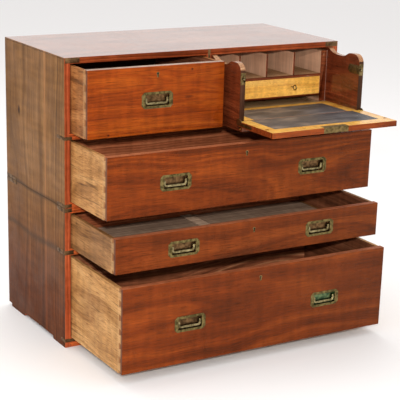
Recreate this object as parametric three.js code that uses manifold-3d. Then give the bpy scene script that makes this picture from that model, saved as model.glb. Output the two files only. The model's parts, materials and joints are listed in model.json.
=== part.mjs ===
// Campaign chest in two halves that lift apart, in solid boards, with flush brass handles.
// Upper half: a short drawer, a secretaire drawer with a writing fall, and a wide drawer.
// Lower half: two wide drawers. All drawers stand open, and the fall is let down.
// Millimetres. X runs across the front, Y from the front to the back, Z up from the floor.
import * as THREE from "three";
import { mergeVertices } from "three/addons/utils/BufferGeometryUtils.js";
import Module from "manifold-3d";

const wasm = await Module();
wasm.setup();

// Fits shared by all pieces
const fit = 0.3;
const drawerGap = 2.4;
const writingGap = 1.2;
const overrun = 4;

// Carcass boards
const caseWidth = 1000;
const caseDepth = 454;
const sideThickness = 20;
const bottomThickness = 20;
const lowerTopThickness = 17.2;
const upperBottomThickness = 17.5;
const topThickness = 19;
const topLap = 5;
const backThickness = 12;
const dividerThickness = 16;
const housingDepth = 6;
const backRebate = 8;
const dividerHousing = 5;

// Dust boards, each with a thicker rail at its front edge
const lowerRailThickness = 22;
const upperRailThickness = 20;
const railDepth = 62;
const dustBoardThickness = 12;

// Feet, left standing between shallow reliefs in the bottom edges
const footHeight = 11;
const footWidth = 70;
const frontFootLength = 92;
const rearFootLength = 113;
const rearFootSetback = 24;

// Pegs that keep the upper half in place
const pegRadius = 6;
const pegHeight = 10;
const pegInset = 45;
const pegHeadroom = 1;

// Heights of the drawer openings
const deepOpening = 274;
const shallowOpening = 113;
const middleOpening = 195;
const topOpening = 210;

// How far each drawer stands out
const shortPull = 110;
const middlePull = 240;
const shallowPull = 297;
const deepPull = 345;
const writingPull = 192;

// Drawer boards
const frontThickness = 22;
const drawerSideThickness = 12;
const drawerBackThickness = 12;
const drawerBottomThickness = 8;
const drawerBottomLift = 7;
const drawerRearGap = 10;
const sideDrop = 3;
const backDrop = 7;
const deepFrontShrinkage = 3;
const grooveDepth = 5;
const slipWidth = 11;
const slipHeight = 15;
const muntinWidth = 40;
const muntinProud = 3;

// Dovetails at the drawer corners: tails on the sides, lapped in front and through behind
const dovetailLap = 5;
const tailPitch = 46;
const tailRootShare = 0.5;
const tailTipShare = 0.72;

// Flush handle: plate with a sunk pan, and a bail that hangs in it
const plateWidth = 107;
const plateHeight = 50;
const plateCorner = 9;
const plateThickness = 2.4;
const plateProud = 0.4;
const panWidth = 81;
const panHeight = 34;
const panDepth = 11.5;
const panWall = 2.5;
const panFloor = 1.5;
const bailPivotRise = 4;
const bailPivotDepth = 4.6;
const bailReach = 17;
const bailBar = 4.8;
const bailGripSwell = 1;
const bailThickness = 4.4;
const bailBevel = 0.9;
const bailCorner = 10;
const bailSideGap = 0.8;
const bailPinRadius = 1.7;
const bailPinLength = 1.6;
const handlePlaceShare = 0.2585;
const shortHandleHeight = 105;
const middleHandleHeight = 96.5;
const shallowHandleHeight = 55;
const deepHandleHeight = 129;

// Keyholes: a shallow pocket for the brass liner, a round eye above a slot
const keyholeRadius = 4.8;
const keyholeSlotWidth = 6;
const keyholeSlotDrop = 11.5;
const keyholeDepth = 3;
const shortKeyholeHeight = 185;
const middleKeyholeHeight = 165;
const shallowKeyholeHeight = 84;
const deepKeyholeHeight = 238;

// Secretaire drawer: shaped side boards, bed and front lip
const writingSideThickness = 17.5;
const bedTop = 31;
const bedThickness = 18;
const bedHousing = 5;
const lipLift = 1;
const lipDepth = 42;
const noseRadius = 30;
const crestPlace = 64;
const scoopPlace = 112;
const scoopDepth = 15;
const shoulderLength = 16;

// Writing surface: leather let into the bed and the fall, inside a maple border
const fallThickness = 18;
const leatherThickness = 1.2;
const leatherBorder = 38;
const leatherFrontBorder = 45;
const leatherBackBorder = 38;
const leatherHingeMargin = 1.5;

// Lock on the fall's free edge
const lockWidth = 92;
const lockPlate = 2.5;
const lockDepth = 23;
const lockBody = 12;

// Fall hinges: the turning axis lies a little under the fall's inner face. Each leaf is let into
// the side board's outer face, with an ear and pin at the axis.
const hingeInset = 4;
const leafThickness = 2.2;
const leafEarRadius = 9.5;
const leafLength = 14;
const leafHeight = 21;
const hingePinRadius = 2.5;
const hingePinLength = 10;

// Spring catches in the side boards' front edges
const catchHeight = 161;
const studRadius = 3;
const studHeadRadius = 4.2;
const studHeadLength = 4;
const studReach = 7;
const studRoot = 12;
const catchTravel = 3;

// Nest of pigeonholes behind the bed
const nestSetback = 2;
const nestHeadroom = 10;
const nestWall = 5.5;
const nestPilaster = 25;
const nestSlotHeight = 20;
const nestFloorThickness = 6;
const nestDrawerOpening = 59;
const nestShelfThickness = 9;
const nestBackThickness = 6;
const pigeonholeShares = [0.208, 0.468, 0.732];

// Maple drawer in the nest, with its key
const nestDrawerGap = 0.6;
const mapleFrontThickness = 8;
const mapleSideThickness = 6;
const mapleBottomThickness = 4;
const mapleBoxDrop = 6;
const mapleRearGap = 4;
const keyPlaceShare = 0.722;
const keyHeight = 30;
const keyShankRadius = 1.7;
const keyShankLength = 10;
const keyRoot = 6;
const keyBowRadius = 8;
const keyBowBar = 3;
const keyBowThickness = 2.4;

// Round work
const roundSteps = 8;
const bailSteps = 3;

const finishes = {
  front: { color: 0x9a4a22, roughness: 0.32, metalness: 0 },
  carcass: { color: 0x8a5a40, roughness: 0.38, metalness: 0 },
  edge: { color: 0x93402a, roughness: 0.35, metalness: 0 },
  lining: { color: 0xb98d58, roughness: 0.7, metalness: 0 },
  inside: { color: 0x8c6a50, roughness: 0.65, metalness: 0 },
  maple: { color: 0xdfa94e, roughness: 0.3, metalness: 0 },
  leather: { color: 0x4a4540, roughness: 0.55, metalness: 0 },
  brass: { color: 0x8a7a48, roughness: 0.42, metalness: 1 },
};

// Axes and closed solids

const across = new THREE.Vector3(1, 0, 0);
const back = new THREE.Vector3(0, 1, 0);
const up = new THREE.Vector3(0, 0, 1);

function solid(geometry) {
  const bare = geometry.clone();
  bare.deleteAttribute("normal");
  bare.deleteAttribute("uv");
  const welded = mergeVertices(bare);
  return new wasm.Manifold(new wasm.Mesh({
    numProp: 3,
    vertProperties: new Float32Array(welded.attributes.position.array),
    triVerts: new Uint32Array(welded.index.array),
  }));
}

// A board from its two ends along each axis.
function block([left, right], [front, rear], [low, high]) {
  const geometry = new THREE.BoxGeometry(right - left, rear - front, high - low);
  geometry.translate((left + right) / 2, (front + rear) / 2, (low + high) / 2);
  return solid(geometry);
}

// An outline drawn out at right angles to its own plane.
function drawnOut(outline, length, uAxis, vAxis, start) {
  const points = Array.isArray(outline) ? outline.map((point) => new THREE.Vector2(...point)) : null;
  const shape = points ? new THREE.Shape(points) : outline;
  const geometry = new THREE.ExtrudeGeometry(shape, {
    depth: length,
    bevelEnabled: false,
    curveSegments: roundSteps,
  });
  const frame = new THREE.Matrix4().makeBasis(uAxis, vAxis, uAxis.clone().cross(vAxis));
  return solid(geometry.applyMatrix4(frame.setPosition(start)));
}

// Outlines in the side view (y, z), the front view (x, z) and the plan (x, y).
const alongX = (outline, [from, to]) =>
  drawnOut(outline, to - from, back, up, across.clone().multiplyScalar(from));
const alongY = (outline, [from, to]) =>
  drawnOut(outline, to - from, across, up, back.clone().multiplyScalar(to));
const alongZ = (outline, [from, to]) =>
  drawnOut(outline, to - from, across, back, up.clone().multiplyScalar(from));

function disc(u, v, radius) {
  return new THREE.Shape().absarc(u, v, radius, 0, 2 * Math.PI);
}

// The same span on the other side of the middle.
const mirrored = ([low, high]) => [-high, -low];
const onSide = (side, span) => (side < 0 ? mirrored(span) : span);
const middled = (width) => [-width / 2, width / 2];
const widened = ([low, high], spare) => [low - spare, high + spare];

function piece(name, body, finish) {
  const { vertProperties, triVerts } = body.getMesh();
  const geometry = new THREE.BufferGeometry();
  geometry.setAttribute("position", new THREE.BufferAttribute(vertProperties, 3));
  geometry.setIndex(new THREE.BufferAttribute(triVerts, 1));
  geometry.computeVertexNormals();
  const material = new THREE.MeshStandardMaterial({ ...finishes[finish], flatShading: true });
  const mesh = new THREE.Mesh(geometry, material);
  mesh.name = name;
  return mesh;
}

function groupAt(x, y, z) {
  const group = new THREE.Group();
  group.position.set(x, y, z);
  return group;
}

// Places shared by the two halves of the case

const innerFace = caseWidth / 2 - sideThickness;
const boardDepth = caseDepth - backThickness - fit;
const boardSpan = middled(2 * (innerFace + housingDepth - fit));
const sideSpan = [innerFace, caseWidth / 2];
const sideNames = [[-1, "left"], [1, "right"]];

const deepFloor = footHeight + bottomThickness;
const lowerRail = deepFloor + deepOpening;
const shallowFloor = lowerRail + lowerRailThickness;
const lowerTop = shallowFloor + shallowOpening;
const lowerHeight = lowerTop + lowerTopThickness;

const middleFloor = upperBottomThickness;
const upperRail = middleFloor + middleOpening;
const topFloor = upperRail + upperRailThickness;
const topUnderside = topFloor + topOpening;
const upperHeight = topUnderside + topThickness;
const upperBase = lowerHeight + fit;

const pegPlaces = [-1, 1].flatMap((side) =>
  [pegInset, boardDepth - pegInset].map((y) => [side * (innerFace - pegInset), y]));

// A side board, cut inside for the boards that are let into it and for the back.
function caseSide(side, outline, housings) {
  const depth = [innerFace - overrun, innerFace + housingDepth];
  let board = alongX(outline, onSide(side, sideSpan));
  for (const span of housings) {
    const housing = block(onSide(side, depth), [-overrun, boardDepth + fit], widened(span, fit));
    board = board.subtract(housing);
  }
  const rebateDepth = [innerFace - overrun, innerFace + backRebate];
  const rebateHeight = [-overrun, upperHeight + lowerHeight];
  return board.subtract(block(onSide(side, rebateDepth), [boardDepth, caseDepth + overrun], rebateHeight));
}

// A dust board with its rail, let into the sides.
function dustBoard(floor, railUnderside) {
  const underside = floor - dustBoardThickness;
  const profile = [
    [0, railUnderside],
    [railDepth, railUnderside],
    [railDepth, underside],
    [boardDepth, underside],
    [boardDepth, floor],
    [0, floor],
  ];
  return alongX(profile, boardSpan);
}

// The bottom edge of a lower side: a long foot in front, another behind, coved reliefs between.
function lowerSideOutline() {
  const rearFootEnd = caseDepth - rearFootSetback;
  const rearFootStart = rearFootEnd - rearFootLength;
  const outline = new THREE.Shape();
  outline.moveTo(0, 0);
  outline.lineTo(frontFootLength - footHeight, 0);
  outline.quadraticCurveTo(frontFootLength, 0, frontFootLength, footHeight);
  outline.lineTo(rearFootStart, footHeight);
  outline.quadraticCurveTo(rearFootStart, 0, rearFootStart + footHeight, 0);
  outline.lineTo(rearFootEnd, 0);
  outline.lineTo(rearFootEnd, footHeight);
  outline.lineTo(caseDepth, footHeight);
  outline.lineTo(caseDepth, lowerHeight);
  outline.lineTo(0, lowerHeight);
  return outline;
}

function lowerBottom() {
  const rearFootEnd = caseDepth - rearFootSetback;
  let board = block(boardSpan, [0, boardDepth], [footHeight, deepFloor]);
  for (const side of [-1, 1]) {
    for (const depth of [[0, frontFootLength], [rearFootEnd - rearFootLength, rearFootEnd]]) {
      const foot = [innerFace - footWidth, innerFace - fit];
      board = board.add(block(onSide(side, foot), depth, [0, deepFloor - bottomThickness / 2]));
    }
  }
  return board.subtract(block(boardSpan, [boardDepth, caseDepth], [footHeight - fit, deepFloor]));
}

function lowerTopBoard() {
  let board = block(boardSpan, [0, boardDepth], [lowerTop, lowerHeight]);
  for (const [x, y] of pegPlaces) {
    board = board.add(alongZ(disc(x, y, pegRadius), [lowerTop + fit, lowerHeight + pegHeight]));
  }
  return board;
}

function upperBottomBoard() {
  let board = block(boardSpan, [0, boardDepth], [0, upperBottomThickness]);
  for (const [x, y] of pegPlaces) {
    board = board.subtract(alongZ(disc(x, y, pegRadius + fit), [-overrun, pegHeight + pegHeadroom]));
  }
  return board;
}

function dividerHousingCut(height) {
  return block(widened(middled(dividerThickness), fit), [-overrun, boardDepth + fit], height);
}

// The top lies over the sides: their ends stop in a rebate, under a thin lap.
function topBoard() {
  let board = block(middled(caseWidth), [0, caseDepth], [topUnderside, upperHeight]);
  const rebate = [innerFace - fit, caseWidth / 2 + overrun];
  for (const side of [-1, 1]) {
    const height = [topUnderside - overrun, upperHeight - topLap];
    board = board.subtract(block(onSide(side, rebate), [-overrun, caseDepth + overrun], height));
  }
  return board.subtract(dividerHousingCut([topUnderside - overrun, topUnderside + dividerHousing]));
}

function backPanel(low, high) {
  const span = middled(2 * (innerFace + backRebate - fit));
  return block(span, [caseDepth - backThickness, caseDepth], [low, high]);
}

function lowerCase() {
  const group = groupAt(0, 0, 0);
  const housings = [[footHeight, deepFloor], [lowerRail, shallowFloor], [lowerTop, lowerHeight + overrun]];
  for (const [side, word] of sideNames) {
    group.add(piece(`lower_case_${word}_side`, caseSide(side, lowerSideOutline(), housings), "carcass"));
  }
  group.add(piece("lower_case_bottom_board", lowerBottom(), "edge"));
  group.add(piece("lower_case_dust_board", dustBoard(shallowFloor, lowerRail), "edge"));
  group.add(piece("lower_case_top_board", lowerTopBoard(), "edge"));
  group.add(piece("lower_case_back_panel", backPanel(footHeight, lowerHeight), "inside"));
  return group;
}

function upperCase() {
  const group = groupAt(0, 0, upperBase);
  const sideHeight = upperHeight - topLap - fit;
  const outline = [[0, 0], [caseDepth, 0], [caseDepth, sideHeight], [0, sideHeight]];
  const housings = [[-overrun, middleFloor], [upperRail, topFloor]];
  for (const [side, word] of sideNames) {
    group.add(piece(`upper_case_${word}_side`, caseSide(side, outline, housings), "carcass"));
  }
  const railHousing = dividerHousingCut([topFloor - dividerHousing, topFloor + overrun]);
  const rail = dustBoard(topFloor, upperRail).subtract(railHousing);
  const dividerHeight = [topFloor - dividerHousing + fit, topUnderside + dividerHousing - fit];
  const divider = block(middled(dividerThickness), [0, boardDepth], dividerHeight);
  group.add(piece("upper_case_bottom_board", upperBottomBoard(), "edge"));
  group.add(piece("upper_case_dust_board", rail, "edge"));
  group.add(piece("upper_case_divider", divider, "edge"));
  group.add(piece("upper_case_top_board", topBoard(), "front"));
  group.add(piece("upper_case_back_panel", backPanel(0, topUnderside - fit), "inside"));
  return group;
}

// Flush handles
// Each is drawn with its face at y = 0, its middle at x = 0 and z = 0, and the wood behind it.

function plateOutline(spare) {
  const x = plateWidth / 2 + spare;
  const z = plateHeight / 2 + spare;
  return [
    [-x, -z + plateCorner],
    [-x + plateCorner, -z],
    [x - plateCorner, -z],
    [x, -z + plateCorner],
    [x, z - plateCorner],
    [x - plateCorner, z],
    [-x + plateCorner, z],
    [-x, z - plateCorner],
  ];
}

function handlePlate() {
  const pan = block(middled(panWidth), [-overrun, panDepth], middled(panHeight));
  const shellWidth = middled(panWidth + 2 * panWall);
  const shell = block(shellWidth, [0, panDepth + panFloor], middled(panHeight + 2 * panWall));
  const flange = alongY(plateOutline(0), [-plateProud, plateThickness]);
  const holeReach = panWidth / 2 + bailPinLength + fit;
  const pinHole = alongX(disc(bailPivotDepth, bailPivotRise, bailPinRadius + fit), middled(2 * holeReach));
  return flange.add(shell).subtract(pan).subtract(pinHole);
}

// What the wood loses for one handle.
function handleMortise() {
  const rebate = alongY(plateOutline(fit), [-overrun, plateThickness + fit]);
  const width = middled(panWidth + 2 * (panWall + fit));
  const height = middled(panHeight + 2 * (panWall + fit));
  return rebate.add(block(width, [-overrun, panDepth + panFloor + fit], height));
}

// The pocket of a keyhole, with the middle of its round eye at the origin.
function keyholePocket() {
  const half = keyholeSlotWidth / 2;
  const turn = Math.acos(half / keyholeRadius);
  const outline = new THREE.Shape();
  outline.moveTo(-half, -keyholeSlotDrop);
  outline.lineTo(half, -keyholeSlotDrop);
  outline.absarc(0, 0, keyholeRadius, -turn, Math.PI + turn, false);
  return alongY(outline, [-overrun, keyholeDepth]);
}

// The bail turns about its own origin: two round eyes, two arms and a grip that swells in the middle.
function handleBail() {
  const eye = bailBar / 2;
  const outer = panWidth / 2 - bailSideGap - bailBevel;
  const armMiddle = outer - eye;
  const inner = armMiddle - eye;
  const bend = bailCorner - bailBar;
  const outline = new THREE.Shape();
  outline.moveTo(outer, 0);
  outline.absarc(armMiddle, 0, eye, 0, Math.PI);
  outline.lineTo(inner, -bailReach + bailCorner);
  outline.quadraticCurveTo(inner, -bailReach + bailBar, inner - bend, -bailReach + bailBar);
  outline.quadraticCurveTo(0, -bailReach + bailBar + bailGripSwell, -inner + bend, -bailReach + bailBar);
  outline.quadraticCurveTo(-inner, -bailReach + bailBar, -inner, -bailReach + bailCorner);
  outline.lineTo(-inner, 0);
  outline.absarc(-armMiddle, 0, eye, 0, Math.PI);
  outline.lineTo(-outer, -bailReach + bailCorner);
  outline.quadraticCurveTo(-outer, -bailReach, -outer + bailCorner, -bailReach);
  outline.quadraticCurveTo(0, -bailReach - bailGripSwell, outer - bailCorner, -bailReach);
  outline.quadraticCurveTo(outer, -bailReach, outer, -bailReach + bailCorner);
  const geometry = new THREE.ExtrudeGeometry(outline, {
    depth: bailThickness - 2 * bailBevel,
    bevelThickness: bailBevel,
    bevelSize: bailBevel,
    bevelSegments: 1,
    curveSegments: bailSteps,
  });
  const frame = new THREE.Matrix4().makeBasis(across, up, across.clone().cross(up));
  frame.setPosition(0, bailThickness / 2 - bailBevel, 0);
  const pinReach = panWidth / 2 + bailPinLength;
  let bail = solid(geometry.applyMatrix4(frame));
  for (const side of [-1, 1]) {
    bail = bail.add(alongX(disc(0, 0, bailPinRadius), onSide(side, [armMiddle, pinReach])));
  }
  return bail;
}

function handle(owner, word, bailAngle) {
  const group = new THREE.Group();
  const plate = piece(`${owner}_handle_plate${word}`, handlePlate(), "brass");
  const bail = piece(`${owner}_handle_bail${word}`, handleBail(), "brass");
  bail.position.set(0, bailPivotDepth, bailPivotRise);
  bail.rotation.x = bailAngle;
  group.add(plate, bail);
  return group;
}

// Plain drawers
// Each is drawn with its front face at y = 0, its middle at x = 0 and its runners on z = 0.

const drawerLength = caseDepth - backThickness - drawerRearGap;

// Tails side by side up a board's end, from their roots to their tips.
function tails([low, high], root, tip, span, spare) {
  const count = Math.max(2, Math.round((high - low) / tailPitch));
  const pitch = (high - low) / count;
  const rootHalf = pitch * tailRootShare / 2 + spare;
  const tipHalf = pitch * tailTipShare / 2 + spare;
  const end = tip + Math.sign(tip - root) * spare;
  const cut = [];
  for (let index = 0; index < count; index += 1) {
    const middle = low + (index + 1 / 2) * pitch;
    const outline = [
      [root, middle - rootHalf],
      [end, middle - tipHalf],
      [end, middle + tipHalf],
      [root, middle + rootHalf],
    ];
    cut.push(alongX(outline, span));
  }
  return cut;
}

function plainDrawer(drawer) {
  const { name, middle, width, floor, opening, shrinkage, pull, handles } = drawer;
  const { handleHeight, keyholeHeight } = drawer;
  const outer = width / 2 - drawerGap;
  const inner = outer - drawerSideThickness;
  const height = opening - drawerGap - shrinkage;
  const sideHeight = [fit, height - sideDrop];
  const bottomTop = drawerBottomLift + drawerBottomThickness;
  const backHeight = [bottomTop - fit, height - backDrop];
  const sideStart = frontThickness + fit;
  const backStart = drawerLength - drawerBackThickness;
  const sideEnd = backStart - fit;
  const frontTails = [sideHeight, sideStart + fit, dovetailLap];
  const backTails = [[bottomTop, height - backDrop], sideEnd - fit, drawerLength];
  const group = groupAt(middle, -pull, floor);

  let front = block([-outer, outer], [0, frontThickness], [drawerGap, height]);
  let tray = block([-outer, outer], [backStart, drawerLength], backHeight);
  for (const [side, word] of sideNames) {
    const span = onSide(side, [inner, outer]);
    const socket = onSide(side, [inner - fit, outer + overrun]);
    let board = block(span, [sideStart, sideEnd], sideHeight);
    for (const tail of [...tails(...frontTails, span, 0), ...tails(...backTails, span, 0)]) {
      board = board.add(tail);
    }
    for (const cut of tails(...frontTails, socket, fit)) {
      front = front.subtract(cut);
    }
    for (const cut of tails(...backTails, socket, fit)) {
      tray = tray.subtract(cut);
    }
    const slip = new THREE.Shape();
    slip.moveTo(side * (inner + fit), bottomTop + fit);
    slip.lineTo(side * (inner - slipWidth), bottomTop + fit);
    slip.quadraticCurveTo(side * inner, bottomTop + fit, side * inner, bottomTop + slipHeight);
    slip.lineTo(side * (inner + fit), bottomTop + slipHeight);
    board = board.add(alongY(slip, [sideStart, sideEnd]));
    const groove = onSide(side, [inner - overrun, inner + grooveDepth]);
    const grooveHeight = [drawerBottomLift - fit, bottomTop + fit];
    board = board.subtract(block(groove, [sideStart - fit, drawerLength + overrun], grooveHeight));
    group.add(piece(`${name}_${word}_side`, board, "lining"));
  }

  const bottomSpan = [-inner - grooveDepth + fit, inner + grooveDepth - fit];
  const bottomHeight = [drawerBottomLift, bottomTop];
  const tongueDepth = [frontThickness - grooveDepth + fit, sideStart + fit];
  const tongue = block(widened([-inner, inner], -fit), tongueDepth, bottomHeight);
  tray = tray.add(block(bottomSpan, [sideStart, drawerLength], bottomHeight)).add(tongue);
  if (handles > 1) {
    const muntinHeight = widened(bottomHeight, muntinProud);
    tray = tray.add(block(middled(muntinWidth), [sideStart, backStart + fit], muntinHeight));
  }
  group.add(piece(`${name}_back_and_bottom`, tray, "lining"));

  const frontGroove = [frontThickness - grooveDepth, frontThickness + overrun];
  front = front.subtract(block([-inner, inner], frontGroove, widened(bottomHeight, fit)))
    .subtract(keyholePocket().translate([0, 0, keyholeHeight]));
  const sides = handles > 1 ? sideNames : [[0, ""]];
  for (const [side, word] of sides) {
    const place = [side * width * handlePlaceShare, 0, handleHeight];
    front = front.subtract(handleMortise().translate(place));
    const fitted = handle(name, word ? `_${word}` : "", 0);
    fitted.position.set(...place);
    group.add(fitted);
  }
  group.add(piece(`${name}_front`, front, "front"));
  return group;
}

// Secretaire drawer
// Drawn with the closed fall's outer face at y = 0, its middle at x = 0 and its runners on z = 0.

const topRowWidth = innerFace - dividerThickness / 2;
const topRowMiddle = (innerFace + dividerThickness / 2) / 2;
const writingHalf = topRowWidth / 2 - writingGap;
const writingInner = writingHalf - writingSideThickness;
const writingHeight = topOpening - writingGap;
const writingSideFront = fallThickness + fit;
const axisY = fallThickness - hingeInset;
const axisZ = bedTop - hingeInset;
const fallReach = writingHeight - axisZ;
const studPlace = writingHalf - writingSideThickness / 2 - catchTravel / 2;
const bedLeatherStart = writingSideFront + leatherHingeMargin;
const nestHeight = topOpening - nestHeadroom;
const leatherEnd = writingPull + nestSetback - leatherBackBorder;

// The side board's top edge falls from its full height into a scoop, rises to a crest and rounds over.
function writingSideOutline() {
  const front = writingSideFront;
  const top = writingHeight;
  const ease = (scoopPlace - crestPlace) / 2;
  const outline = new THREE.Shape();
  outline.moveTo(front, fit);
  outline.lineTo(drawerLength, fit);
  outline.lineTo(drawerLength, top);
  outline.lineTo(writingPull, top);
  outline.bezierCurveTo(writingPull - shoulderLength, top, writingPull - shoulderLength, top - scoopDepth,
    scoopPlace + ease, top - scoopDepth);
  outline.lineTo(scoopPlace, top - scoopDepth);
  outline.bezierCurveTo(scoopPlace - ease, top - scoopDepth, crestPlace + ease, top, crestPlace, top);
  outline.lineTo(front + noseRadius, top);
  outline.absarc(front + noseRadius, top - noseRadius, noseRadius, Math.PI / 2, Math.PI, false);
  return outline;
}

// The leaf's outline: a plate on the side board and a round ear about the turning axis.
function leafOutline(spare) {
  const radius = leafEarRadius + spare;
  const rear = writingSideFront + leafLength + spare;
  const high = axisZ - leafEarRadius + leafHeight + spare;
  const outline = new THREE.Shape();
  outline.moveTo(rear, axisZ - radius);
  outline.lineTo(rear, high);
  outline.lineTo(writingSideFront - spare, high);
  outline.lineTo(writingSideFront - spare, axisZ + radius);
  outline.lineTo(axisY, axisZ + radius);
  outline.absarc(axisY, axisZ, radius, Math.PI / 2, Math.PI * 3 / 2, false);
  return outline;
}

// What the bed, the lip and the side boards leave free for the mitred end of the fall as it turns:
// under the mitre when the fall is let down, and as far out as the end's corner reaches.
function turningSpace() {
  const reach = Math.hypot(axisY, axisY) + fit;
  const lift = fit * Math.SQRT1_2;
  const outline = new THREE.Shape();
  outline.moveTo(axisY + lift, axisZ + lift);
  outline.lineTo(axisY + reach * Math.SQRT1_2, axisZ + lift - (reach * Math.SQRT1_2 - lift));
  outline.absarc(axisY, axisZ, reach, -Math.PI / 4, -Math.PI, true);
  return alongX(outline, middled(caseWidth));
}

function writingSide(side) {
  const grooves = onSide(side, [writingInner - overrun, writingInner + bedHousing]);
  const leaf = onSide(side, [writingHalf - leafThickness - fit, writingHalf + overrun]);
  const bedHeight = widened([bedTop - bedThickness, bedTop], fit);
  const slotInner = studPlace - studRadius - catchTravel - fit;
  const studSlot = onSide(side, [slotInner, studPlace + studRadius + fit]);
  const slotHeight = widened([catchHeight - studRadius, catchHeight + studRadius], fit);
  const slotDepth = [writingSideFront - overrun, writingSideFront + studRoot + fit];
  return alongX(writingSideOutline(), onSide(side, [writingInner, writingHalf]))
    .subtract(block(grooves, [0, drawerLength + overrun], bedHeight))
    .subtract(alongX(leafOutline(fit), leaf))
    .subtract(block(studSlot, slotDepth, slotHeight))
    .subtract(turningSpace());
}

function hingeLeaf(side) {
  const plate = onSide(side, [writingHalf - leafThickness, writingHalf]);
  const pin = onSide(side, [writingHalf - leafThickness - hingePinLength, writingHalf - leafThickness / 2]);
  return alongX(leafOutline(0), plate).add(alongX(disc(axisY, axisZ, hingePinRadius), pin));
}

// The bed, with the lip that fills the front under the fall. The bed's front edge is mitred to suit
// the fall's end, and the lip is hollowed under it.
function bed() {
  const underside = bedTop - bedThickness;
  const lipSpan = [-writingInner + fit, writingInner - fit];
  const recess = [-writingInner + leatherBorder - fit, writingInner - leatherBorder + fit];
  const recessDepth = [bedLeatherStart - fit, leatherEnd + fit];
  const recessHeight = [bedTop - leatherThickness - fit, bedTop + overrun];
  const boardWidth = middled(2 * (writingInner + bedHousing - fit));
  return block(boardWidth, [writingSideFront, drawerLength], [underside, bedTop])
    .add(block(lipSpan, [axisY, lipDepth], [lipLift, underside + fit]))
    .add(block(middled(2 * writingHalf), [0, fallThickness], [lipLift, underside - fit]))
    .subtract(turningSpace())
    .subtract(block(recess, recessDepth, recessHeight));
}

function bedLeather() {
  const span = [-writingInner + leatherBorder, writingInner - leatherBorder];
  return block(span, [bedLeatherStart, leatherEnd], [bedTop - leatherThickness, bedTop]);
}

// The fall is drawn closed, upright about its turning axis, and then let down. Its end is mitred
// from the outer face to a small round about the axis.
const fallLeatherSpan = [-writingHalf + leatherBorder, writingHalf - leatherBorder];
const fallLeatherHeight = [leatherHingeMargin, fallReach - leatherFrontBorder];
const innerSkin = [hingeInset - leatherThickness, hingeInset];

function lockSolid(spare) {
  const span = widened(middled(lockWidth), spare);
  const plateHeights = [fallReach - lockPlate - spare, fallReach + spare];
  const bodyHeights = [fallReach - lockDepth - spare, fallReach + spare];
  const plate = block(span, widened([-axisY, hingeInset], spare), plateHeights);
  return plate.add(block(span, [hingeInset - lockBody - spare, hingeInset + spare], bodyHeights));
}

function fallBoard() {
  const outline = new THREE.Shape();
  outline.moveTo(-axisY, fallReach);
  outline.lineTo(-axisY, -axisY);
  outline.lineTo(-hingeInset * Math.SQRT1_2, -hingeInset * Math.SQRT1_2);
  outline.absarc(0, 0, hingeInset, -Math.PI * 3 / 4, 0, false);
  outline.lineTo(hingeInset, fallReach);
  const recessDepth = [innerSkin[0] - fit, hingeInset + overrun];
  let board = alongX(outline, middled(2 * writingHalf))
    .subtract(block(widened(fallLeatherSpan, fit), recessDepth, widened(fallLeatherHeight, fit)))
    .subtract(lockSolid(fit))
    .subtract(handleMortise().translate([0, -axisY, shortHandleHeight - axisZ]))
    .subtract(keyholePocket().translate([0, -axisY, shortKeyholeHeight - axisZ]));
  const studHeight = catchHeight - axisZ;
  for (const side of [-1, 1]) {
    const ear = onSide(side, [writingHalf - leafThickness - fit, writingHalf + overrun]);
    const bore = onSide(side, [writingHalf - leafThickness - hingePinLength - fit, writingHalf]);
    const stud = [studPlace - studHeadRadius - catchTravel - fit, studPlace + studHeadRadius + fit];
    const studDepth = [hingeInset - studReach - fit, hingeInset + overrun];
    const studSpan = widened([studHeight - studHeadRadius, studHeight + studHeadRadius], fit);
    board = board
      .subtract(block(ear, widened([-axisY, hingeInset], overrun), [-axisY - overrun, leafEarRadius + fit]))
      .subtract(alongX(disc(0, 0, hingePinRadius + fit), bore))
      .subtract(block(onSide(side, stud), studDepth, studSpan));
  }
  return board;
}

// A catch stud: a shank in the side board and a bevelled head in front of it.
function catchStud() {
  const bevel = studHeadLength / 3;
  const profile = [
    [0, -studRoot],
    [studRadius, -studRoot],
    [studRadius, studReach - studHeadLength],
    [studHeadRadius, studReach - studHeadLength],
    [studHeadRadius, studReach - bevel],
    [studHeadRadius - bevel, studReach],
    [0, studReach],
  ];
  return solid(new THREE.LatheGeometry(profile.map((point) => new THREE.Vector2(...point)), roundSteps))
    .rotate([0, 0, 180]);
}

// Nest of pigeonholes, with its slot and the opening for the maple drawer

const nestLeft = -writingInner + fit;
const nestRight = writingInner - fit;
const nestInside = [nestLeft + nestWall, nestRight - nestPilaster];
const nestFront = writingPull + nestSetback;
const nestBase = bedTop + fit;
const nestFloor = nestBase + nestSlotHeight;
const nestDrawerFloor = nestFloor + nestFloorThickness;
const nestShelf = nestDrawerFloor + nestDrawerOpening;
const nestDepth = [nestFront, drawerLength - nestBackThickness / 2];

function nest() {
  const insideWidth = nestInside[1] - nestInside[0];
  const high = [nestShelf + nestShelfThickness / 2, nestHeight];
  const boardSpanInside = widened(nestInside, nestWall / 2);
  let body = block([nestLeft, nestInside[0]], nestDepth, [nestBase, nestHeight])
    .add(block([nestInside[1], nestRight], nestDepth, [nestBase, nestHeight]))
    .add(block(boardSpanInside, nestDepth, [nestFloor, nestDrawerFloor]))
    .add(block(boardSpanInside, nestDepth, [nestShelf, nestShelf + nestShelfThickness]));
  for (const share of pigeonholeShares) {
    const middle = nestInside[0] + insideWidth * share;
    body = body.add(block(widened([middle, middle], nestWall / 2), nestDepth, high));
  }
  const backDepth = [drawerLength - nestBackThickness, drawerLength];
  return body.add(block([nestLeft, nestRight], backDepth, [nestBase, nestHeight]));
}

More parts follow.
